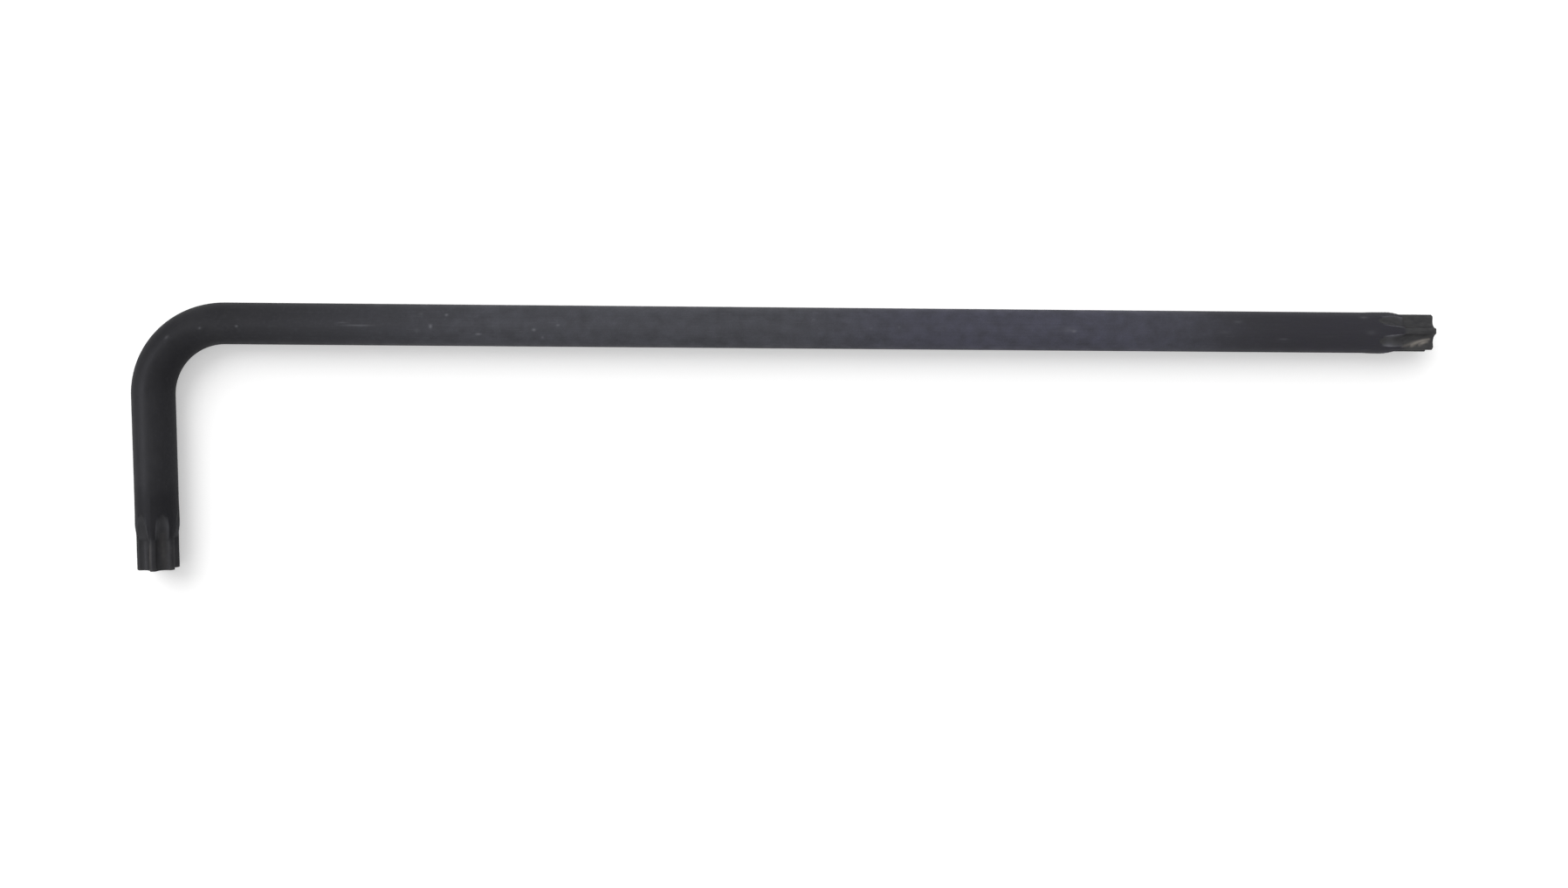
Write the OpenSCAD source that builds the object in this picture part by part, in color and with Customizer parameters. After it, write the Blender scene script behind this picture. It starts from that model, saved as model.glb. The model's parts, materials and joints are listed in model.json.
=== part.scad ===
// Star key: one round steel bar, bent to an L, with a six-lobed star forged on each end.
// It lies flat, +Z up, with its long arm along +X and its short arm along -Y.
// The origin is under the middle of the key, on the surface that it lies on. Sizes are in millimetres.

/* [Bar] */
// Diameter of the round bar
bar_d = 5.6; // [5.5:0.1:8]
// Overall length along the long arm, from the short arm's outer side to the long arm's end
long_arm_l = 177; // [120:1:260]
// Overall length along the short arm, from the long arm's outer side to the short arm's end
short_arm_l = 36.2; // [30:0.1:70]
// Radius of the bend, at the bar's axis
bend_r = 9.8; // [6:0.1:15]

/* [Star] */
// Size of the star over two opposite lobes
star_a = 5.5; // [5:0.05:5.6]
// Size of the star between two opposite flutes
star_b = 3.85; // [3.5:0.05:4.2]
// Radius of each lobe's crest
lobe_r = 0.45; // [0.35:0.01:0.55]
// Length of the flutes at their full depth
flute_l = 4; // [3:0.1:8]
// Chamfer round the star's end
end_chamfer = 0.15; // [0.1:0.05:0.6]
// Turn of the long arm's star, from one lobe straight up towards the key's outer side
long_star_turn = 8; // [-30:1:30]
// Turn of the short arm's star, from one lobe straight up towards the key's outer side
short_star_turn = -3; // [-30:1:30]

/* [Neck] */
// Length over which the flutes rise to the bar's surface
runout_l = 3.8; // [3.2:0.1:6]
// Length from the flutes' ends to where the swell has died away
neck_land = 2.2; // [1.6:0.1:3]
// Length of the shoulder that rises from the star to the swell
shoulder_l = 1.4; // [1:0.1:1.8]
// Distance from the star back to the top of the forging swell
swell_at = 3; // [1.8:0.1:3.2]
// Height of the forging swell above the bar
swell_h = 0.08; // [0.02:0.01:0.2]

/* [Hidden] */
$fn = 128;

bar_colour = [0.20, 0.20, 0.22];
star_colour = [0.25, 0.25, 0.25];

// The bar and the top of its swell, which is the key's widest ring
bar_r = bar_d / 2;
swell_r = bar_r + swell_h;

// The star's outline: lobe arcs and flute arcs that all but run into each other, with a fine edge left
// where a flute's arc just cuts a lobe's
flank_edge = 0.01;
lobes = 6;
pitch = 360 / lobes;
half_pitch = pitch / 2;
root_r = star_b / 2;
lobe_at = star_a / 2 - lobe_r;
flank_r = lobe_r - flank_edge;
flute_r = (pow(lobe_at, 2) + pow(root_r, 2) - 2 * cos(half_pitch) * lobe_at * root_r - pow(flank_r, 2))
    / (2 * (flank_r + cos(half_pitch) * lobe_at - root_r));
flute_at = root_r + flute_r;

// The radius at which a lobe's arc meets a flute's arc
lobe_centre = [lobe_at, 0];
flute_centre = flute_at * [cos(half_pitch), sin(half_pitch)];
meeting_r = norm(lobe_centre + (flute_centre - lobe_centre) * flank_r / (flank_r + flute_r));

// The neck: a shoulder, a swell that is one long arc, and flutes that tilt out to the bar's surface
neck_l = runout_l + neck_land;
shoulder_slope = (swell_r - meeting_r) / shoulder_l;
swell_arc_r = (pow(neck_l - swell_at, 2) + pow(swell_h, 2)) / (2 * swell_h);
flute_tilt = atan((bar_r - root_r) / runout_l);
tilted_flute_at = root_r + flute_r / cos(flute_tilt);
flute_overrun = flute_r;
tilted_flute_l = neck_l + 2 * flute_overrun;

// The lobes' crests run on into the neck, a little slimmer so that they stay clear of the flutes
crest_gap = 0.03;
crest_r = lobe_r - crest_gap;
crest_at = star_a / 2 - crest_r;

// Where the two arms lie
axis_z = swell_r;
long_axis_y = short_arm_l / 2 - swell_r;
short_axis_x = swell_r - long_arm_l / 2;
bend_centre = [short_axis_x + bend_r, long_axis_y - bend_r, axis_z];
long_star_x = long_arm_l / 2 - flute_l;
short_star_y = flute_l - short_arm_l / 2;
long_straight_l = long_star_x - neck_l - bend_centre[0];
short_straight_l = bend_centre[1] - short_star_y - neck_l;

// Puts a star end where the long arm's star begins, with +Z out along the arm
module at_long_star() {
    translate([long_star_x, long_axis_y, axis_z])
        rotate([0, 90, 0])
            rotate(-long_star_turn)
                children();
}

// Puts a star end where the short arm's star begins, with +Z out along the arm
module at_short_star() {
    translate([short_axis_x, short_star_y, axis_z])
        rotate([90, 0, 0])
            rotate(half_pitch + short_star_turn)
                children();
}

// The star's outline, with one lobe on +X
module star_outline() {
    difference() {
        union() {
            circle(r = meeting_r);
            for (i = [0 : lobes - 1])
                rotate(i * pitch)
                    translate([lobe_at, 0])
                        circle(r = lobe_r);
        }
        for (i = [0 : lobes - 1])
            rotate(half_pitch + i * pitch)
                translate([flute_at, 0])
                    circle(r = flute_r);
    }
}

// The star at its full depth, chamfered round its end
module star_tip() {
    blank_r = star_a / 2 + end_chamfer;
    intersection() {
        linear_extrude(flute_l)
            star_outline();
        rotate_extrude()
            polygon([
                [0, 0],
                [blank_r, 0],
                [blank_r, flute_l - 2 * end_chamfer],
                [star_a / 2 - end_chamfer, flute_l],
                [0, flute_l]
            ]);
    }
}

// The round blank behind the star: it rises over the shoulder to the swell and falls back to the bar
module neck_blank() {
    rotate_extrude()
        intersection() {
            polygon([
                [0, 0],
                [meeting_r, 0],
                [meeting_r + shoulder_slope * neck_l, -neck_l],
                [0, -neck_l]
            ]);
            translate([swell_r - swell_arc_r, -swell_at])
                circle(r = swell_arc_r);
        }
}

// The neck behind a star: the blank with its flutes running out, and the lobes' crests running in
module star_neck() {
    difference() {
        neck_blank();
        for (i = [0 : lobes - 1])
            rotate(half_pitch + i * pitch)
                translate([tilted_flute_at, 0, 0])
                    rotate([0, 180 - flute_tilt, 0])
                        translate([0, 0, -flute_overrun])
                            cylinder(h = tilted_flute_l, r = flute_r);
    }
    for (i = [0 : lobes - 1])
        rotate(i * pitch)
            translate([crest_at, 0, -swell_at])
                cylinder(h = swell_at, r = crest_r);
}

// The straight bar of the long arm
module long_arm() {
    color(bar_colour)
        translate([bend_centre[0], long_axis_y, axis_z])
            rotate([0, 90, 0])
                cylinder(h = long_straight_l, r = bar_r);
}

// The quarter bend between the arms
module bend() {
    color(bar_colour)
        translate(bend_centre)
            rotate(90)
                rotate_extrude(angle = 90)
                    translate([bend_r, 0])
                        circle(r = bar_r);
}

// The straight bar of the short arm
module short_arm() {
    color(bar_colour)
        translate([short_axis_x, bend_centre[1], axis_z])
            rotate([90, 0, 0])
                cylinder(h = short_straight_l, r = bar_r);
}

module long_arm_neck() {
    color(bar_colour)
        at_long_star()
            star_neck();
}

module long_arm_star_tip() {
    color(star_colour)
        at_long_star()
            star_tip();
}

module short_arm_neck() {
    color(bar_colour)
        at_short_star()
            star_neck();
}

module short_arm_star_tip() {
    color(star_colour)
        at_short_star()
            star_tip();
}

long_arm();
bend();
short_arm();
long_arm_neck();
long_arm_star_tip();
short_arm_neck();
short_arm_star_tip();
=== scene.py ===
import json
import math
from collections import namedtuple

import bpy
import numpy as np
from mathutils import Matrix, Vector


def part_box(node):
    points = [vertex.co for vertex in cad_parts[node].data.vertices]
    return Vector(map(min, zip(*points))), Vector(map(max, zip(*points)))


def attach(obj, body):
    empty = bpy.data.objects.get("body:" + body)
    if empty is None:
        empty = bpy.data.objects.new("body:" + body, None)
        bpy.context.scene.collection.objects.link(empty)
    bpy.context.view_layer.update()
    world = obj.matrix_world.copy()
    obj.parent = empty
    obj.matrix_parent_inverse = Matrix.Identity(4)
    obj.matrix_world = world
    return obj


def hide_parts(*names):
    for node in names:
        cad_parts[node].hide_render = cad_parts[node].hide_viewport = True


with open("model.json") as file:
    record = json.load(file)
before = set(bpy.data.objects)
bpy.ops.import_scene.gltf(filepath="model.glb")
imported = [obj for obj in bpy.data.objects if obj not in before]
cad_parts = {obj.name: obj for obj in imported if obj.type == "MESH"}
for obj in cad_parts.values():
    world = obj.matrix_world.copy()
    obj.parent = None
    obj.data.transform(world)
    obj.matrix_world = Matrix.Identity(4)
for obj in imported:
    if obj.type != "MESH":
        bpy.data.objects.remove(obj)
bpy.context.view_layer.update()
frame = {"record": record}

# Lengths are in millimetres until a mesh or camera is made, and angles in radians unless called degrees
MM = 0.001
FULL_TURN = 2 * math.pi
UP = np.array([0.0, 0.0, 1.0])

# The star's outline and the neck behind it, as in the solid model
LOBES = 6
STAR_OVER_LOBES = 5.5
STAR_BETWEEN_FLUTES = 3.85
LOBE_RADIUS = 0.45
LONG_STAR_TURN = math.radians(8)
SHORT_STAR_TURN = math.radians(-3)
RUNOUT_LENGTH = 3.8
SHOULDER_LENGTH = 1.4
SWELL_AT = 3.0

# The fine shape of the ends: broken edges, rounded corners, lips along the flutes and a slight unevenness
END_CHAMFER = 0.08
EDGE_BREAK = 0.035
CHAMFER_ROUNDING = 1.6
CHAMFER_UNEVENNESS = 0.25
CHAMFER_PHASE = 0.7
FLUTE_EDGE_ROUNDING = 0.14
STAR_CREST_ROUNDING = 0.02
NECK_CREST_ROUNDING = 0.16
CREST_CHANGE_LENGTH = 0.5
SHOULDER_ROUNDING = 0.30
LIP_HEIGHT = 0.09
LIP_WIDTH = 0.32
LIP_RISE = (0.1, 0.6)
LIP_FALL = (1.6, RUNOUT_LENGTH - 0.3)
FORGING_WAVE = 0.010
WAVE_TWISTS = (1.1, -0.8)
WAVE_PHASE = 0.4
WAVE_FADE_LENGTH = 1.5
FACE_DISH = 0.05

# How finely the bar is meshed
LOBE_STEPS = 8
FLUTE_STEPS = 11
EDGE_RINGS = 11
EDGE_REACH = 1.35
EDGE_CROWDING = 1.7
TIP_STEP = 0.13
NECK_STEP = 0.085
BEND_STEPS = 56
ARM_STEP = 2.0
NICK_STEP = 0.16
NICK_REACH = 2.2
STEPS_IN_HALF_NICK = 3
RING_DECIMALS = 5
LEAST_RING_GAP = 1e-4
FACE_SCALES = [0.04, 0.2, 0.4, 0.6, 0.78, 0.9, 0.96, 0.99]

# Where the bar lies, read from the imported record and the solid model's boxes
mounts = {mount["name"]: mount for mount in frame["record"]["mounts"]}


def mount_place(name):
    """A mount's point, in millimetres."""
    return np.array(mounts[name]["pos_m"]) / MM


long_shank = mount_place("long_arm_shank")
short_shank = mount_place("short_arm_shank")
long_straight = mounts["long_arm_shank"]["dims"]["length_mm"]
short_straight = mounts["short_arm_shank"]["dims"]["length_mm"]
bar_radius = mounts["long_arm_shank"]["dims"]["r_mm"]
axis_z = long_shank[2]
swell_radius = axis_z
bend_centre = np.array([long_shank[0] - long_straight / 2, short_shank[1] + short_straight / 2, axis_z])
bend_radius = bend_centre[0] - short_shank[0]
short_end_y = mount_place("short_arm_end_face")[1]
long_end_x = mount_place("long_arm_end_face")[0]
star_length = long_end_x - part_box("long_arm_star_tip")[0].x / MM
neck_length = long_end_x - star_length - long_shank[0] - long_straight / 2
end_length = star_length + neck_length

# Distances along the bar's axis, from the short arm's end to the long arm's end
short_neck_at = star_length
short_arm_at = end_length
bend_at = short_arm_at + short_straight
long_arm_at = bend_at + bend_radius * math.pi / 2
long_neck_at = long_arm_at + long_straight
long_star_at = long_neck_at + neck_length
bar_length = long_star_at + star_length

# The star's arcs: lobes and flutes that run into each other
pitch = FULL_TURN / LOBES
half_pitch = pitch / 2
root_radius = STAR_BETWEEN_FLUTES / 2
crest_radius = STAR_OVER_LOBES / 2
lobe_at = crest_radius - LOBE_RADIUS
flute_radius = (
    (lobe_at ** 2 + root_radius ** 2 - 2 * math.cos(half_pitch) * lobe_at * root_radius - LOBE_RADIUS ** 2)
    / (2 * (LOBE_RADIUS + math.cos(half_pitch) * lobe_at - root_radius))
)
flute_at = root_radius + flute_radius
lobe_centre = np.array([lobe_at, 0.0])
flute_centre = flute_at * np.array([math.cos(half_pitch), math.sin(half_pitch)])
meeting_point = lobe_centre + (flute_centre - lobe_centre) * LOBE_RADIUS / (LOBE_RADIUS + flute_radius)
meeting_radius = math.hypot(*meeting_point)
meeting_turn = math.atan2(meeting_point[1], meeting_point[0])
FAR = 99.0

# Small nicks along the bar, each turned from the top towards the outer side. Lightness is how far the finish
# is made light there, rubbed at the dented ones. The two on the long arm's neck are light marks without a
# dent.
Nick = namedtuple("Nick", "along degrees half_length half_width depth lightness")
NICKS = [
    Nick(57.2, -1, 1.70, 0.10, 0.020, 0.22),
    Nick(55.1, 6, 0.60, 0.09, 0.012, 0.12),
    Nick(68.8, 31, 0.20, 0.16, 0.025, 0.38),
    Nick(66.7, -2, 0.20, 0.26, 0.025, 0.34),
    Nick(65.4, 34, 0.30, 0.25, 0.012, 0.10),
    Nick(64.9, -14, 0.35, 0.30, 0.012, 0.08),
    Nick(73.0, -23, 0.34, 0.16, 0.025, 0.36),
    Nick(80.4, -9, 0.24, 0.18, 0.025, 0.36),
    Nick(81.5, -32, 0.16, 0.14, 0.022, 0.26),
    Nick(83.6, 4, 0.22, 0.14, 0.022, 0.24),
    Nick(117.8, 26, 0.25, 0.18, 0.012, 0.08),
    Nick(125.6, 2, 0.20, 0.15, 0.012, 0.10),
    Nick(129.4, 6, 0.15, 0.24, 0.012, 0.10),
    Nick(152.4, 2, 0.90, 0.36, 0.012, 0.10),
    Nick(153.2, -1, 0.28, 0.18, 0.020, 0.24),
    Nick(173.8, 0, 0.80, 0.20, 0.012, 0.05),
    Nick(175.7, 30, 0.60, 0.20, 0.015, 0.10),
    Nick(182.0, -19, 0.70, 0.12, 0.015, 0.12),
    Nick(193.4, 50, 0.55, 0.22, 0.0, 0.14),
    Nick(194.1, 2, 0.60, 0.28, 0.0, 0.08),
    Nick(41.2, -6, 0.18, 0.14, 0.022, 0.26),
    Nick(36.3, -5, 0.18, 0.14, 0.022, 0.22),
    Nick(31.9, 15, 0.30, 0.18, 0.018, 0.12),
]

# Streaks where use has worn the finish off a star, each from its inner end to its outer end; the short
# star's second is a broad faint painted highlight on a flute's lit wall. Inner and outer are distances in
# from the star's end face, and the degrees are turned from the top.
Streak = namedtuple("Streak", "inner inner_degrees outer outer_degrees half_width bareness")
LONG_STREAKS = [
    Streak(4.3, -44, 2.4, -37, 0.11, 0.35),
    Streak(3.0, -41, 0.7, -24, 0.18, 1.0),
    Streak(1.9, -40, 0.9, -33, 0.15, 0.95),
]
SHORT_STREAKS = [
    Streak(3.4, 4, 0.1, 7, 0.15, 0.16),
    # Painted highlight: a broad faint streak on the lit wall of a flute
    Streak(5.0, -36, 0.2, -41, 0.36, 0.065),
]
STREAK_END_SHARE = 0.35
STREAK_END_INSET = 0.08
STREAK_FADE_LENGTH = 0.25

# The two ends. The short one has a lower swell and lower lips with less painted highlight, and less of the
# struck grey with its painted flute light.
End = namedtuple("End", "turn forging struck streaks")
SHORT_END = End(SHORT_STAR_TURN, 0.35, 0.34, SHORT_STREAKS)
LONG_END = End(LONG_STAR_TURN, 1.0, 1.0, LONG_STREAKS)

# How the finish differs on a star and its neck, with painted light in its flutes and painted highlight along
# its lips
STAR_FADE = (-0.1, 0.6)
FLUTE_EDGE_FADE = (-0.02, 0.10)
PROUD_FROM = root_radius + 0.25
PROUD_TO = crest_radius - 0.1
RIM_BARENESS = 0.06
RIM_AT = 0.1
RIM_WIDTH = 0.25
FACE_BARENESS = 0.10
# Painted highlight: the raised lips along the flutes are painted lighter, swaying round the star
LIP_HIGHLIGHT = 0.58
LIP_HIGHLIGHT_MEAN = 0.7
LIP_HIGHLIGHT_CHANGE = 0.3
LIP_HIGHLIGHT_TWIST = 1.3


def soft_min(a, b, rounding):
    """The lesser of a and b, with the corner between them rounded."""
    near = np.clip(rounding - np.abs(a - b), 0, None) / rounding
    return np.minimum(a, b) - near ** 2 * rounding / 4


def soft_max(a, b, rounding):
    """The greater of a and b, with the corner between them filled."""
    return -soft_min(-a, -b, rounding)


def hump(x, width):
    """1 at x = 0, falling smoothly to nothing over about twice the width."""
    return np.exp(-(x / width) ** 2)


def rise(x, start, end):
    """0 before start, 1 after end, and smooth between them."""
    t = np.clip((x - start) / (end - start), 0, 1)
    return t * t * (3 - 2 * t)


def from_turn(turn, middle):
    """Angle from a middle turn, from minus to plus half a turn."""
    return (turn - middle + math.pi) % FULL_TURN - math.pi


def from_lobe(turn):
    """Angle from the nearest lobe's crest, whatever the turn."""
    return np.abs((turn + half_pitch) % pitch - half_pitch)


def crest_wall(turn):
    """Radius of a lobe's arc, or nothing outside the lobe."""
    angle = from_lobe(turn)
    inside = np.clip(LOBE_RADIUS ** 2 - (lobe_at * np.sin(angle)) ** 2, 0, None)
    return np.where(angle <= meeting_turn, lobe_at * np.cos(angle) + np.sqrt(inside), 0.0)


def flute_wall(turn, centre_at):
    """Radius of the wall of a flute whose arc is centred that far out, or far away beside the flute."""
    angle = half_pitch - from_lobe(turn)
    inside = flute_radius ** 2 - (centre_at * np.sin(angle)) ** 2
    wall = centre_at * np.cos(angle) - np.sqrt(np.clip(inside, 0, None))
    return np.where(inside > 0, wall, FAR)


def neck_shape(turn, behind, forging):
    """Radii of the neck's round blank and of its flutes' walls, and the share of a lip there, 0 to 1."""
    behind = np.clip(behind, 0, None)
    top = bar_radius + (swell_radius - bar_radius) * forging
    shoulder = meeting_radius + (top - meeting_radius) / SHOULDER_LENGTH * behind
    away = np.clip(np.abs(behind - SWELL_AT) / (neck_length - SWELL_AT), 0, 1)
    swell = bar_radius + (top - bar_radius) * (1 + np.cos(math.pi * away)) / 2
    blank = soft_min(shoulder, swell, SHOULDER_ROUNDING)
    wall = flute_wall(turn, flute_at + (bar_radius - root_radius) / RUNOUT_LENGTH * behind)
    lip_share = rise(behind, *LIP_RISE) * (1 - rise(behind, *LIP_FALL))
    return blank, wall, hump(wall - blank, LIP_WIDTH) * lip_share


def section_radius(turn, behind, forging):
    """The star's outline, and behind the star the neck's: flutes running out of a swell."""
    blank, wall, lip = neck_shape(turn, behind, forging)
    fluted = soft_min(blank + LIP_HEIGHT * forging * lip, wall, FLUTE_EDGE_ROUNDING)
    crest_rounding = NECK_CREST_ROUNDING * rise(behind, 0.0, CREST_CHANGE_LENGTH) + STAR_CREST_ROUNDING
    return soft_max(fluted, crest_wall(turn), crest_rounding)


def forging_wave(turn, inwards):
    """Slight unevenness of a forged end, mostly inwards, from two twisted waves that fade by the bar."""
    first_wave = np.sin(2 * turn + WAVE_TWISTS[0] * inwards + WAVE_PHASE)
    second_wave = np.sin(turn + WAVE_TWISTS[1] * inwards)
    fade = 1 - rise(inwards, end_length - WAVE_FADE_LENGTH, end_length)
    return FORGING_WAVE * first_wave * second_wave * fade - FORGING_WAVE / 2


def end_radius(turn, inwards, forging):
    """Radius of a forged end, at a distance inwards from its end face."""
    outline = section_radius(turn, inwards - star_length, forging)
    chamfer = EDGE_BREAK + np.clip(outline - crest_radius + END_CHAMFER, 0, None)
    chamfer = chamfer * (1 + CHAMFER_UNEVENNESS * np.sin(turn + CHAMFER_PHASE))
    left = np.clip(1 - inwards / chamfer, 0, 1)
    inset = chamfer * (1 - (1 - left ** CHAMFER_ROUNDING) ** (1 / CHAMFER_ROUNDING))
    return outline - inset + forging_wave(turn, inwards)


def nick_share(along, turn, nick):
    """How far a nick reaches at points of the bar, 0 to 1."""
    across = from_turn(turn, math.radians(nick.degrees)) * bar_radius
    return hump(along - nick.along, nick.half_length) * hump(across, nick.half_width)


def nick_depth(along, turn):
    """How deep the bar's surface is dented."""
    return sum(nick.depth * nick_share(along, turn, nick) for nick in NICKS)


def nick_lightness(along, turn):
    """How far the bar's finish is made light at its nicks and marks."""
    return sum(nick.lightness * nick_share(along, turn, nick) for nick in NICKS)


def surface_radius(along, turn):
    """Radius of the bar's surface."""
    from_short_end = np.clip(along, 0, end_length)
    from_long_end = np.clip(bar_length - along, 0, end_length)
    short_end = end_radius(turn - SHORT_END.turn, from_short_end, SHORT_END.forging)
    long_end = end_radius(turn - LONG_END.turn, from_long_end, LONG_END.forging)
    plain = np.full(np.broadcast(along, turn).shape, bar_radius) - nick_depth(along, turn)
    after_short_end = np.where(along > bar_length - end_length, long_end, plain)
    return np.where(along < end_length, short_end, after_short_end)


def axis_frame(along):
    """The axis point at a distance along the bar, and the way to the key's outer side."""
    if along <= bend_at:
        return np.array([short_shank[0], short_end_y + along, axis_z]), np.array([-1.0, 0.0, 0.0])
    if along >= long_arm_at:
        x = bend_centre[0] + along - long_arm_at
        return np.array([x, long_shank[1], axis_z]), np.array([0.0, 1.0, 0.0])
    angle = (along - bend_at) / bend_radius
    outer = np.array([-math.cos(angle), math.sin(angle), 0.0])
    return bend_centre + bend_radius * outer, outer


def axis_way(along):
    """Direction of the bar's axis, towards the long arm's end."""
    outer = axis_frame(along)[1]
    return np.cross(outer, UP)


def steps(start, end, step):
    """Even places from start to end, about a step apart."""
    return np.linspace(start, end, max(2, round((end - start) / step) + 1))


# Where rings are cut through the bar: closest round its ends' edges, and closer at nicks than along the arms
edge_places = (END_CHAMFER + EDGE_BREAK) * EDGE_REACH * np.linspace(0, 1, EDGE_RINGS) ** EDGE_CROWDING
tip_places = np.concatenate([edge_places, steps(edge_places[-1], star_length, TIP_STEP)])
end_places = np.concatenate([tip_places, steps(star_length, end_length, NECK_STEP)])
arm_places = [steps(short_arm_at, bend_at, ARM_STEP)]
arm_places.append(np.linspace(bend_at, long_arm_at, BEND_STEPS))
arm_places.append(steps(long_arm_at, long_neck_at, ARM_STEP))
for nick in NICKS:
    reach = NICK_REACH * nick.half_length
    nick_step = min(NICK_STEP, nick.half_length / STEPS_IN_HALF_NICK)
    arm_places.append(steps(nick.along - reach, nick.along + reach, nick_step))
every_place = np.concatenate([end_places, bar_length - end_places] + arm_places)
ring_places = np.unique(np.round(every_place, RING_DECIMALS))
ring_places = ring_places[np.concatenate([[True], np.diff(ring_places) > LEAST_RING_GAP])]

# Turns of the points round a ring, from the star's own arcs, so that its corners are met
lobe_arc = math.atan2(flute_centre[1], flute_centre[0] - lobe_at)
on_lobe = np.linspace(0, lobe_arc, LOBE_STEPS + 1)
lobe_turns = np.arctan2(LOBE_RADIUS * np.sin(on_lobe), lobe_at + LOBE_RADIUS * np.cos(on_lobe))
flute_arc = lobe_arc - half_pitch
on_flute = math.pi + half_pitch + np.linspace(flute_arc, 0, FLUTE_STEPS + 1)
flute_turns = np.arctan2(
    flute_centre[1] + flute_radius * np.sin(on_flute),
    flute_centre[0] + flute_radius * np.cos(on_flute),
)
half_turns = np.concatenate([lobe_turns, flute_turns[1:]])
lobe_span = np.concatenate([half_turns, pitch - half_turns[-2:0:-1]])
ring_turns = np.concatenate([lobe_span + pitch * lobe for lobe in range(LOBES)])
points_round = len(ring_turns)


def ring_twist(along):
    """Turn of a ring's first point: each star's own turn, changing along the plain bar."""
    return SHORT_STAR_TURN + (LONG_STAR_TURN - SHORT_STAR_TURN) * rise(along, long_arm_at, long_neck_at)


class Ring:
    """One ring of points round the bar, with where they would lie if the bar were straight."""

    def __init__(self, along, scale=1.0, dip=0.0):
        self.along = along
        self.scale = scale
        self.turn = ring_turns + ring_twist(along)
        self.radius = surface_radius(np.full(points_round, along), self.turn) * scale
        centre, outer = axis_frame(along)
        ray = np.cos(self.turn)[:, None] * UP + np.sin(self.turn)[:, None] * outer
        shift = dip * np.sign(bar_length / 2 - along) * axis_way(along)
        self.points = centre + shift + self.radius[:, None] * ray
        lengthwise = np.full(points_round, along)
        outwards = self.radius * np.sin(self.turn)
        upwards = self.radius * np.cos(self.turn)
        self.unbent = np.stack([lengthwise, outwards, upwards], axis=1)


# The end faces are rings too, drawn in towards the axis with a shallow dish
short_face = [Ring(0.0, scale, FACE_DISH * (1 - scale ** 2)) for scale in FACE_SCALES]
long_face = [Ring(bar_length, scale, FACE_DISH * (1 - scale ** 2)) for scale in reversed(FACE_SCALES)]
all_rings = short_face + [Ring(along) for along in ring_places] + long_face
grid = np.array([ring.points for ring in all_rings])


def grid_normals(points):
    """Normals of the whole bar's surface, from its neighbours in the grid."""
    around = np.roll(points, -1, axis=1) - np.roll(points, 1, axis=1)
    lengthwise = np.empty_like(points)
    lengthwise[1:-1] = points[2:] - points[:-2]
    lengthwise[0] = points[1] - points[0]
    lengthwise[-1] = points[-1] - points[-2]
    crossed = np.cross(lengthwise, around)
    return crossed / np.linalg.norm(crossed, axis=2, keepdims=True)


# The normals point outwards, away from the axis
normals = grid_normals(grid)
middles = np.array([axis_frame(ring.along)[0] for ring in all_rings])[:, None, :]
if np.mean(np.sum(normals * (grid - middles), axis=2)) < 0:
    normals = -normals


def streak_wear_and_highlight(streaks, inwards, turn, radius):
    """Bareness of a star's surface from its streaks of wear, and from the painted highlight on a flute."""
    bare = np.zeros(points_round)
    for streak in streaks:
        share = np.clip((streak.inner - inwards) / (streak.inner - streak.outer), 0, 1)
        degrees = streak.inner_degrees + (streak.outer_degrees - streak.inner_degrees) * share
        past = np.clip(inwards - streak.inner, 0, None) + np.clip(streak.outer - inwards, 0, None)
        across = from_turn(turn, np.radians(degrees)) * radius
        swell = np.sin(math.pi * np.clip(share, STREAK_END_INSET, 1 - STREAK_END_INSET)) ** 0.5
        fade = STREAK_END_SHARE + (1 - STREAK_END_SHARE) * swell
        reach = hump(across, streak.half_width) * hump(past, STREAK_FADE_LENGTH)
        bare = np.maximum(bare, streak.bareness * fade * reach)
    return bare


def surface_state(ring):
    """How bare a ring's points are from wear and a painted flute highlight, how far they are struck metal
    with painted light in the neck's flutes, and how far lightened at nicks and by painted highlight along
    the lips, each 0 to 1.
    """
    on_short_side = ring.along < bar_length / 2
    inwards = ring.along if on_short_side else bar_length - ring.along
    nicked = nick_lightness(ring.along, ring.turn)
    if inwards > end_length:
        return np.zeros(points_round), np.zeros(points_round), nicked
    end = SHORT_END if on_short_side else LONG_END
    turn = ring.turn - end.turn
    behind = inwards - star_length
    blank, wall, lip = neck_shape(turn, behind, end.forging)
    on_star = 1 - rise(behind, *STAR_FADE)
    # Struck grey on the star, and painted light inside the neck's flutes where they are cut in
    struck = np.maximum(on_star, rise(blank - wall, *FLUTE_EDGE_FADE)) * end.struck
    rim = RIM_BARENESS * rise(ring.radius, PROUD_FROM, PROUD_TO) * hump(inwards - RIM_AT, RIM_WIDTH)
    if ring.scale < 1:
        rim = np.full(points_round, FACE_BARENESS)
    # Painted highlight along the lips
    lip_change = LIP_HIGHLIGHT_CHANGE * np.sin(3 * turn + LIP_HIGHLIGHT_TWIST * behind)
    lip_highlight = end.forging * np.sqrt(lip) * (LIP_HIGHLIGHT_MEAN + lip_change)
    bare = np.maximum(rim, streak_wear_and_highlight(end.streaks, inwards, ring.turn, ring.radius))
    rubbed_and_lip_highlight = LIP_HIGHLIGHT * lip_highlight + nicked
    return np.clip(bare, 0, 1), struck * (1 - lip_highlight), np.clip(rubbed_and_lip_highlight, 0, 1)


# Colours of the finish, with painted sheen, reflection, shade and highlight among them
OXIDE_BLACK = (0.0321, 0.0321, 0.0353, 1)
# Painted sheen: the bar is blended towards this grey through its middle, standing in for the reflection of a
# light above it; random patches use it too
OXIDE_AND_SHEEN_GREY = (0.0911, 0.0925, 0.1070, 1)
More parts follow.
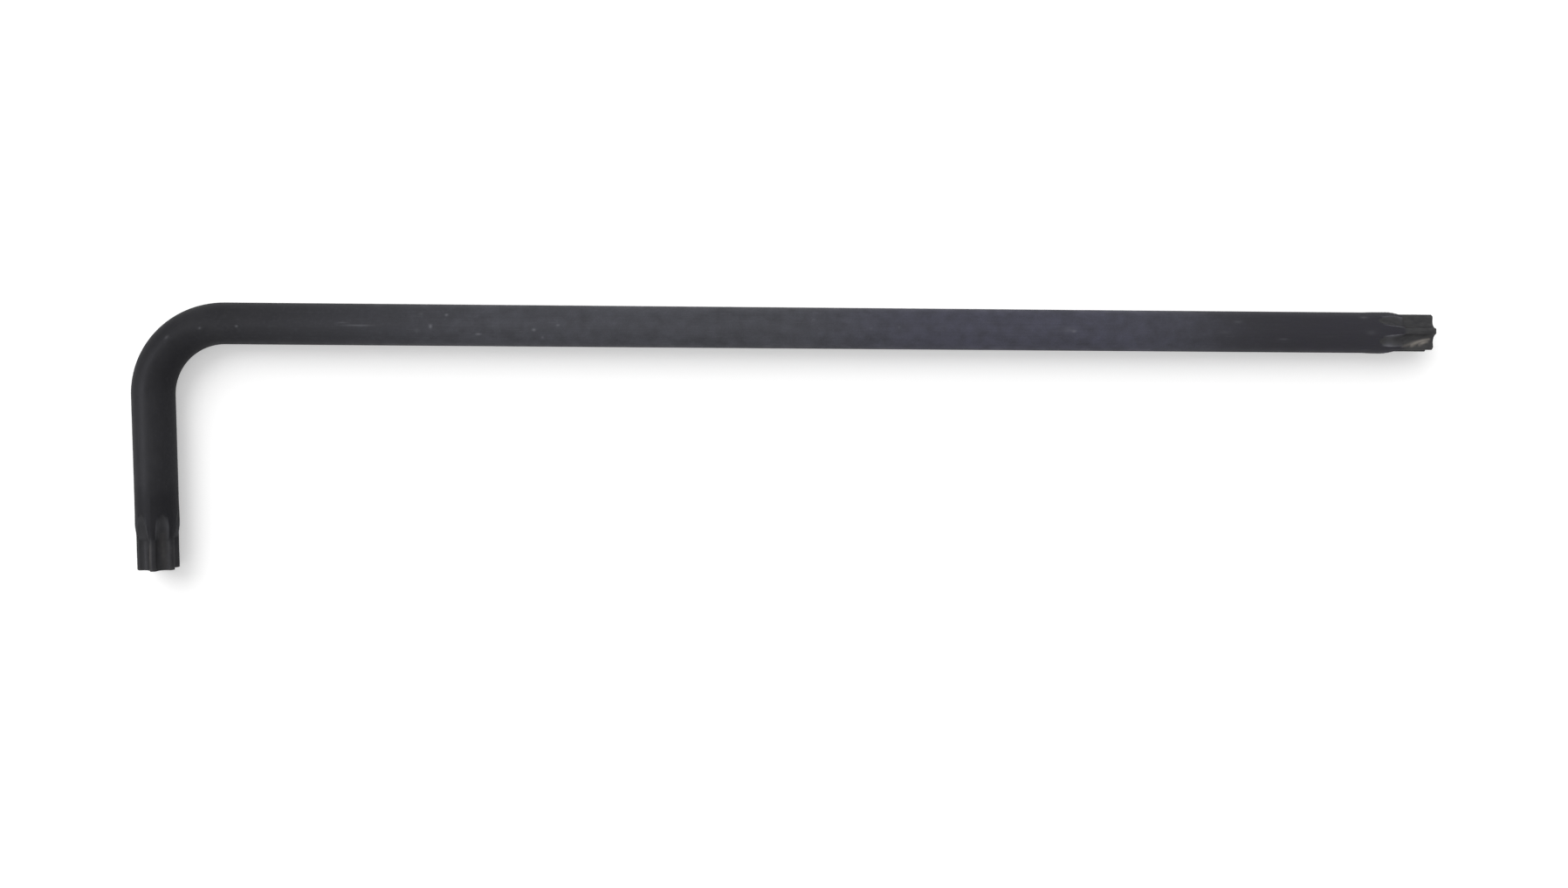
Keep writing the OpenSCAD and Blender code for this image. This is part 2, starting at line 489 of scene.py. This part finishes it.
# Bluish band: partly the oxide's tint and partly a painted reflection
OXIDE_TINT_AND_REFLECTION_BLUE = (0.0911, 0.0907, 0.1269, 1)
OXIDE_PURPLE = (0.0437, 0.0418, 0.0525, 1)
CLOUD_GREY = (0.0493, 0.0493, 0.0535, 1)
LINE_BLACK = (0.0268, 0.0268, 0.0301, 1)
GRAIN_BLACK = (0.0335, 0.0335, 0.0372, 1)
SCRATCH_GREY = (0.1395, 0.1404, 0.1544, 1)
# Painted shade: darkens the short neck and the bend, dimming their highlights
PAINTED_SHADE_BLACK = (0.0186, 0.0186, 0.0209, 1)
# Rubbed grey at the nicks, and painted highlight along the lips
RUB_AND_HIGHLIGHT_GREY = (0.2697, 0.2725, 0.2976, 1)
# Struck grey of the forged ends, which inside the neck's flutes is also painted light lifting them out of
# their shade
STRUCK_AND_LIT_DARK = (0.0502, 0.0502, 0.0530, 1)
STRUCK_AND_LIT_LIGHT = (0.0698, 0.0693, 0.0707, 1)
BARE_STEEL = (0.36, 0.33, 0.295, 1)

# Patterns of the finish: how many to a millimetre along the bar and across it, and levels of detail
Pattern = namedtuple("Pattern", "along across detail")
PATTERNS = {
    "broad": Pattern(0.018, 0.05, 1.0),
    "mottle": Pattern(0.22, 0.35, 4.0),
    "clouds": Pattern(0.55, 0.65, 6.0),
    "specks": Pattern(1.9, 2.1, 1.0),
    "lines": Pattern(0.05, 5.0, 4.0),
    "grain": Pattern(9.0, 9.0, 3.0),
    "scratches": Pattern(0.30, 14.0, 2.0),
    "blotches": Pattern(0.7, 1.5, 3.0),
}

# Colours laid over the finish, each growing to its amount as its pattern goes from low to high
Layer = namedtuple("Layer", "pattern low high amount colour")
LAYERS = [
    Layer("clouds", 0.30, 0.70, 0.45, CLOUD_GREY),
    Layer("lines", 0.45, 0.80, 0.12, LINE_BLACK),
    Layer("grain", 0.30, 0.70, 0.30, GRAIN_BLACK),
]

# Where the colour changes along the bar: the place where a change is nothing, then the one where it is full.
# The grey is painted sheen, lighter through the middle and darker towards the ends, and some of it is left
# at the long end. The blue band is partly oxide tint and partly painted reflection, and the neck and bend
# amounts are painted shade that dims their highlights.
SHEEN_FROM = (34.0, 88.0)
SHEEN_TO = (189.0, 153.0)
SHEEN_LEFT = 0.22
BLUE_FROM = (112.0, 138.0)
BLUE_TO = (182.0, 155.0)
BLUE_AMOUNT = 0.8
PURPLE_FROM = (166.0, 186.0)
PURPLE_AMOUNT = 0.8
# Painted shade at the short neck and the bend, dimming the highlights there
NECK_SHADE_FROM = (2.5, 5.0)
NECK_SHADE_TO = (13.0, 9.0)
NECK_SHADE_AMOUNT = 0.52
BEND_SHADE_FROM = (22.0, 28.0)
BEND_SHADE_TO = (37.0, 32.0)
BEND_SHADE_AMOUNT = 0.36

# How far the patterns change the finish's greyness, scratches, wear, roughness and height
BROAD_CHANGE = 0.12
SPECK_CHANGE = 0.14
SCRATCH_AMOUNTS = (0.06, 0.22)
MOTTLED_WEAR = (0.4, 1.0)
GRAIN_ROUGHNESS = (0.18, 0.26)
CLOUD_ROUGHNESS = (0.18, 0.32)
LINE_HEIGHT = 0.1
GRAIN_HEIGHT = 0.30
SCRATCH_DEPTH = 0.10

# How strongly the height shows, and how metallic the oxide and the bare steel are
BUMP_STRENGTH = 0.5
BUMP_METRES = 0.00006
OXIDE_METALLIC = 0.35
BARE_METALLIC = 0.85


class Nodes:
    """The node tree of a material or of the world, with short ways to add nodes and links."""

    def __init__(self, owner):
        owner.use_nodes = True
        self.tree = owner.node_tree
        self.tree.nodes.clear()

    def add(self, kind, inputs=None, **settings):
        """A new node, with its settings and with its inputs set or linked."""
        node = self.tree.nodes.new(kind)
        for key, value in settings.items():
            setattr(node, key, value)
        for key, value in (inputs or {}).items():
            self.set(node.inputs[key], value)
        return node

    def set(self, socket, value):
        """Links a socket to another node's output, or sets its own value."""
        if isinstance(value, bpy.types.NodeSocket):
            self.tree.links.new(value, socket)
        else:
            socket.default_value = value

    def stored(self, name, output="Fac"):
        """A value that the mesh stores for each of its points."""
        return self.add("ShaderNodeAttribute", attribute_name=name).outputs[output]

    def math(self, operation, first, second):
        """One sum on two values."""
        node = self.add("ShaderNodeMath", {0: first, 1: second}, operation=operation)
        return node.outputs[0]

    def span(self, value, low, high, to_low=0.0, to_high=1.0, way="LINEAR"):
        """A value's place between low and high, brought to between two other values."""
        inputs = {"Value": value, "From Min": low, "From Max": high, "To Min": to_low, "To Max": to_high}
        return self.add("ShaderNodeMapRange", inputs, interpolation_type=way).outputs[0]

    def ease(self, value, start, end, to_start=0.0, to_end=1.0):
        """The same with a smooth start and end."""
        return self.span(value, start, end, to_start, to_end, "SMOOTHSTEP")

    def between(self, value, rising, falling, amount):
        """An amount between two smooth changes, and nothing outside them."""
        inside = self.math("MULTIPLY", self.ease(value, *rising), self.ease(value, *falling))
        return self.math("MULTIPLY", inside, amount)

    def blend(self, amount, first, second):
        """A colour between two others."""
        node = self.add("ShaderNodeMix", data_type="RGBA")
        self.set(node.inputs[0], amount)
        self.set(node.inputs[6], first)
        self.set(node.inputs[7], second)
        return node.outputs[2]

    def noise(self, coordinates, pattern):
        """Noise that is as fine as a pattern says along the bar and across it."""
        scale = (pattern.along, pattern.across, pattern.across)
        stretch = self.add("ShaderNodeMapping", {"Vector": coordinates, "Scale": scale})
        inputs = {"Vector": stretch.outputs[0], "Scale": 1.0, "Detail": pattern.detail}
        return self.add("ShaderNodeTexNoise", inputs).outputs[0]

    def seen(self):
        """1 where the camera or a reflection sees the surface, and 0 where the surface only gives light."""
        rays = self.add("ShaderNodeLightPath")
        straight = self.math("MAXIMUM", rays.outputs["Is Camera Ray"], rays.outputs["Is Glossy Ray"])
        return self.math("MAXIMUM", straight, rays.outputs["Is Transmission Ray"])

    def link_output(self, kind, shader):
        """Links a shader to the tree's output."""
        output = self.add(kind)
        self.set(output.inputs["Surface"], shader.outputs[0])


def oxide_colour(nodes, along, patterns):
    """The black oxide's colour: painted sheen and tint changes along the bar, the patterns over them, and
    painted shade at the short neck and the bend.
    """
    # Painted sheen: lighter through the middle of the bar and darker towards its ends, with random patches
    # over it
    sheen_end = nodes.ease(along, *SHEEN_TO, SHEEN_LEFT, 1.0)
    painted_sheen = nodes.math("MULTIPLY", nodes.ease(along, *SHEEN_FROM), sheen_end)
    broad_change = nodes.span(patterns["broad"], 0.3, 0.7, -BROAD_CHANGE, BROAD_CHANGE)
    speck_change = nodes.span(patterns["specks"], 0.5, 0.8, 0.0, SPECK_CHANGE)
    patchy = nodes.math("ADD", nodes.math("ADD", painted_sheen, broad_change), speck_change)
    colour = nodes.blend(patchy, OXIDE_BLACK, OXIDE_AND_SHEEN_GREY)
    # Bluish band, partly oxide tint and partly painted reflection
    colour = nodes.blend(nodes.between(along, BLUE_FROM, BLUE_TO, BLUE_AMOUNT), colour, OXIDE_TINT_AND_REFLECTION_BLUE)
    colour = nodes.blend(nodes.ease(along, *PURPLE_FROM, 0.0, PURPLE_AMOUNT), colour, OXIDE_PURPLE)
    for layer in LAYERS:
        amount = nodes.span(patterns[layer.pattern], layer.low, layer.high, 0.0, layer.amount)
        colour = nodes.blend(amount, colour, layer.colour)
    scratched = nodes.span(patterns["scratches"], 0.64, 0.72)
    scratch_amount = nodes.span(painted_sheen, 0.0, 1.0, *SCRATCH_AMOUNTS)
    colour = nodes.blend(nodes.math("MULTIPLY", scratched, scratch_amount), colour, SCRATCH_GREY)
    # Painted shade: the short neck and the bend are darkened where their highlights fall
    neck_shade = nodes.between(along, NECK_SHADE_FROM, NECK_SHADE_TO, NECK_SHADE_AMOUNT)
    bend_shade = nodes.between(along, BEND_SHADE_FROM, BEND_SHADE_TO, BEND_SHADE_AMOUNT)
    return nodes.blend(nodes.math("MAXIMUM", neck_shade, bend_shade), colour, PAINTED_SHADE_BLACK)


def oxide_bump(nodes, patterns):
    """The finish's fine relief: cloudy, with faint lines, grain and scratches."""
    line_height = nodes.math("MULTIPLY", patterns["lines"], LINE_HEIGHT)
    grain_height = nodes.math("MULTIPLY", patterns["grain"], GRAIN_HEIGHT)
    height = nodes.math("ADD", nodes.math("ADD", line_height, grain_height), patterns["clouds"])
    scratch_depth = nodes.span(patterns["scratches"], 0.62, 0.74, 0.0, SCRATCH_DEPTH)
    height = nodes.math("SUBTRACT", height, scratch_depth)
    inputs = {"Strength": BUMP_STRENGTH, "Distance": BUMP_METRES, "Height": height}
    return nodes.add("ShaderNodeBump", inputs).outputs[0]


def black_oxide(name):
    """Black oxide on steel: cloudy and grained, with painted sheen, reflection, shade and highlights, grey
    where struck, lighter at rubbed nicks, and bare where worn.
    """
    material = bpy.data.materials.new(name)
    nodes = Nodes(material)
    unbent = nodes.stored("unbent", "Vector")
    along = nodes.add("ShaderNodeSeparateXYZ", {"Vector": unbent}).outputs[0]
    patterns = {key: nodes.noise(unbent, pattern) for key, pattern in PATTERNS.items()}
    colour = nodes.blend(nodes.stored("rubbed_and_lip_highlight"), oxide_colour(nodes, along, patterns), RUB_AND_HIGHLIGHT_GREY)
    # Struck grey, partly forged metal and partly painted light in the flutes
    struck_and_lit_colour = nodes.blend(nodes.span(patterns["blotches"], 0.35, 0.65), STRUCK_AND_LIT_DARK, STRUCK_AND_LIT_LIGHT)
    colour = nodes.blend(nodes.stored("struck"), colour, struck_and_lit_colour)
    wear_share = nodes.span(patterns["mottle"], 0.25, 0.75, *MOTTLED_WEAR)
    bare = nodes.math("MULTIPLY", nodes.stored("wear_and_highlight"), wear_share)
    grain_roughness = nodes.span(patterns["grain"], 0.2, 0.8, *GRAIN_ROUGHNESS)
    cloud_roughness = nodes.span(patterns["clouds"], 0.3, 0.7, *CLOUD_ROUGHNESS)
    shader = nodes.add("ShaderNodeBsdfPrincipled", {
        "Base Color": nodes.blend(bare, colour, BARE_STEEL),
        "Roughness": nodes.math("ADD", grain_roughness, cloud_roughness),
        "Normal": oxide_bump(nodes, patterns),
        "Metallic": nodes.span(bare, 0.0, 1.0, OXIDE_METALLIC, BARE_METALLIC),
        "Specular IOR Level": 0.0,
    })
    nodes.link_output("ShaderNodeOutputMaterial", shader)
    return material


finishes = {slot: black_oxide(slot) for slot in ("black_oxide_bar", "worn_star")}


def add_values(mesh, name, values):
    """Stores a number or a vector for each point of a mesh, for its material to read."""
    kind, field = ("FLOAT", "value") if values.ndim == 1 else ("FLOAT_VECTOR", "vector")
    layer = mesh.attributes.new(name, kind, "POINT")
    layer.data.foreach_set(field, values.ravel().astype(np.float32))


def tube_faces(row_count):
    """Faces of a tube through rows of points, and of its two caps, whose middle points follow the rows."""
    sides = []
    caps = []
    last_row = (row_count - 1) * points_round
    start_middle = row_count * points_round
    for low in range(0, last_row, points_round):
        high = low + points_round
        for step in range(points_round):
            following = (step + 1) % points_round
            sides.append((low + step, high + step, high + following, low + following))
    for step in range(points_round):
        following = (step + 1) % points_round
        caps.append((start_middle, step, following))
        caps.append((start_middle + 1, last_row + following, last_row + step))
    return sides, caps


def make_piece(name, node, slot, first, last):
    """One zone of the bar as a closed mesh, from its first ring to its last, in place of its CAD node."""
    rows = all_rings[first:last + 1]
    points = grid[first:last + 1].reshape(-1, 3)
    ways = normals[first:last + 1].reshape(-1, 3)
    cap_middles = [rows[0].points.mean(axis=0), rows[-1].points.mean(axis=0)]
    cap_ways = [-axis_way(rows[0].along), axis_way(rows[-1].along)]
    sides, caps = tube_faces(len(rows))
    faces = sides + caps
    mesh = bpy.data.meshes.new(name)
    every_point = np.concatenate([points, cap_middles]) * MM
    mesh.from_pydata(every_point.tolist(), [], faces)
    mesh.materials.append(finishes[slot])
    mesh.polygons.foreach_set("use_smooth", np.ones(len(faces), dtype=bool))
    corner_ways = [ways[corner] for face in sides for corner in face]
    for face in caps:
        corner_ways.extend([cap_ways[face[0] - len(points)]] * len(face))
    mesh.normals_split_custom_set([tuple(way) for way in corner_ways])
    unbent_middles = [[rows[0].along, 0.0, 0.0], [rows[-1].along, 0.0, 0.0]]
    add_values(mesh, "unbent", np.concatenate([ring.unbent for ring in rows] + [unbent_middles]))
    states = [surface_state(ring) for ring in rows]
    for layer, layer_name in enumerate(("wear_and_highlight", "struck", "rubbed_and_lip_highlight")):
        cap_values = [states[0][layer].mean(), states[-1][layer].mean()]
        add_values(mesh, layer_name, np.concatenate([state[layer] for state in states] + [cap_values]))
    piece = bpy.data.objects.new(name, mesh)
    bpy.context.scene.collection.objects.link(piece)
    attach(piece, "root")
    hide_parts(node)
    return piece


def ring_at(along):
    """Index of the ring at a distance along the bar, past the short arm's end face."""
    return len(short_face) + int(np.argmin(np.abs(ring_places - along)))


# The bar's zones from the short end to the long end: each piece, the CAD node it stands for, and its finish
ZONES = [
    ("forged_short_star", "short_arm_star_tip", "worn_star"),
    ("forged_short_neck", "short_arm_neck", "black_oxide_bar"),
    ("drawn_short_bar", "short_arm", "black_oxide_bar"),
    ("bent_bar", "bend", "black_oxide_bar"),
    ("drawn_long_bar", "long_arm", "black_oxide_bar"),
    ("forged_long_neck", "long_arm_neck", "black_oxide_bar"),
    ("forged_long_star", "long_arm_star_tip", "worn_star"),
]
cut_places = [short_neck_at, short_arm_at, bend_at, long_arm_at, long_neck_at, long_star_at]
cuts = [0] + [ring_at(place) for place in cut_places] + [len(all_rings) - 1]
pieces = [make_piece(*zone, first, last) for zone, first, last in zip(ZONES, cuts, cuts[1:])]

# Floor: pale, with the soft shadow, and white where the camera or a reflection sees it lit. Its size and
# drop are in metres.
FLOOR_SIZE = 20.0
FLOOR_DROP = 0.00002
FLOOR_GREY = 0.78
FLOOR_GLOW = 0.385


def make_floor():
    """A wide pale floor under the key."""
    half = FLOOR_SIZE / 2
    corners = [(-half, -half), (half, -half), (half, half), (-half, half)]
    mesh = bpy.data.meshes.new("floor")
    mesh.from_pydata([(x, y, -FLOOR_DROP) for x, y in corners], [], [(0, 1, 2, 3)])
    material = bpy.data.materials.new("pale_floor")
    nodes = Nodes(material)
    glow = nodes.add("ShaderNodeEmission", {"Strength": nodes.math("MULTIPLY", nodes.seen(), FLOOR_GLOW)})
    paint = nodes.add("ShaderNodeBsdfDiffuse", {"Color": (FLOOR_GREY, FLOOR_GREY, FLOOR_GREY, 1)})
    both = nodes.add("ShaderNodeAddShader", {0: paint.outputs[0], 1: glow.outputs[0]})
    nodes.link_output("ShaderNodeOutputMaterial", both)
    mesh.materials.append(material)
    floor = bpy.data.objects.new("floor", mesh)
    bpy.context.scene.collection.objects.link(floor)
    return floor


floor = make_floor()

# Light: a white room whose soft light is stronger from the upper left, one wide light that casts the floor's
# shadow, and one from the left for the key itself. Spread, azimuth and elevation are in degrees.
WHITE = (1, 1, 1, 1)
ROOM_DARK = 0.15
ROOM_LIGHT = 0.88
ROOM_DARK_FACING = -0.4
ROOM_AZIMUTH = 118
ROOM_ELEVATION = 40
FLOOR_LIGHT = {"strength": 2.1, "spread": 58, "azimuth": 126, "elevation": 40}
KEY_LIGHT = {"strength": 1.05, "spread": 25, "azimuth": 178, "elevation": 45}


def light_way(azimuth, elevation):
    """Direction towards a light, from its degrees round from +X and above the floor."""
    level = math.cos(math.radians(elevation))
    turn = math.radians(azimuth)
    return (level * math.cos(turn), level * math.sin(turn), math.sin(math.radians(elevation)))


def make_sun(name, settings, lit):
    """A wide soft light on some of the objects."""
    lamp = bpy.data.lights.new(name, "SUN")
    lamp.energy = settings["strength"]
    lamp.angle = math.radians(settings["spread"])
    sun = bpy.data.objects.new(name, lamp)
    tilt = math.radians(90 - settings["elevation"])
    sun.rotation_euler = (tilt, 0.0, math.radians(settings["azimuth"] + 90))
    receivers = bpy.data.collections.new(name)
    for thing in lit:
        receivers.objects.link(thing)
    sun.light_linking.receiver_collection = receivers
    bpy.context.scene.collection.objects.link(sun)


make_sun("floor_light", FLOOR_LIGHT, [floor])
make_sun("key_light", KEY_LIGHT, pieces)


def make_room():
    """Soft light that is stronger from one side, in a room that the camera and reflections see as white."""
    world = bpy.data.worlds.new("pale_room")
    bpy.context.scene.world = world
    nodes = Nodes(world)
    way = nodes.add("ShaderNodeTexCoord").outputs["Generated"]
    bright_way = light_way(ROOM_AZIMUTH, ROOM_ELEVATION)
    facing = nodes.add("ShaderNodeVectorMath", {0: way, 1: bright_way}, operation="DOT_PRODUCT")
    strength = nodes.span(facing.outputs["Value"], ROOM_DARK_FACING, 1.0, ROOM_DARK, ROOM_LIGHT)
    light = nodes.add("ShaderNodeBackground", {"Color": WHITE, "Strength": strength})
    white = nodes.add("ShaderNodeBackground", {"Color": WHITE, "Strength": 1.0})
    both = nodes.add("ShaderNodeMixShader", {0: nodes.seen(), 1: light.outputs[0], 2: white.outputs[0]})
    nodes.link_output("ShaderNodeOutputWorld", both)


make_room()

# Camera: where the photograph was taken from, fitted to the key's outline in it. Its turn is in degrees.
PHOTO_WIDTH = 1796
FOCAL_PIXELS = 1772.5
SENSOR_WIDTH = 36.0
NEAR_CLIP = 5.0
CAMERA_PLACE = (-9.341, 20.287, 214.021)
CAMERA_TURN = (-5.682, -2.311, 0.527)


def make_camera():
    """The photograph's camera."""
    lens = bpy.data.cameras.new("photo_camera")
    lens.sensor_fit = "HORIZONTAL"
    lens.sensor_width = SENSOR_WIDTH
    lens.lens = SENSOR_WIDTH * FOCAL_PIXELS / PHOTO_WIDTH
    lens.clip_start = NEAR_CLIP * MM
    camera = bpy.data.objects.new("photo_camera", lens)
    camera.location = [length * MM for length in CAMERA_PLACE]
    camera.rotation_euler = [math.radians(degrees) for degrees in CAMERA_TURN]
    bpy.context.scene.collection.objects.link(camera)
    bpy.context.scene.camera = camera


make_camera()
bpy.context.scene.view_settings.view_transform = "Standard"
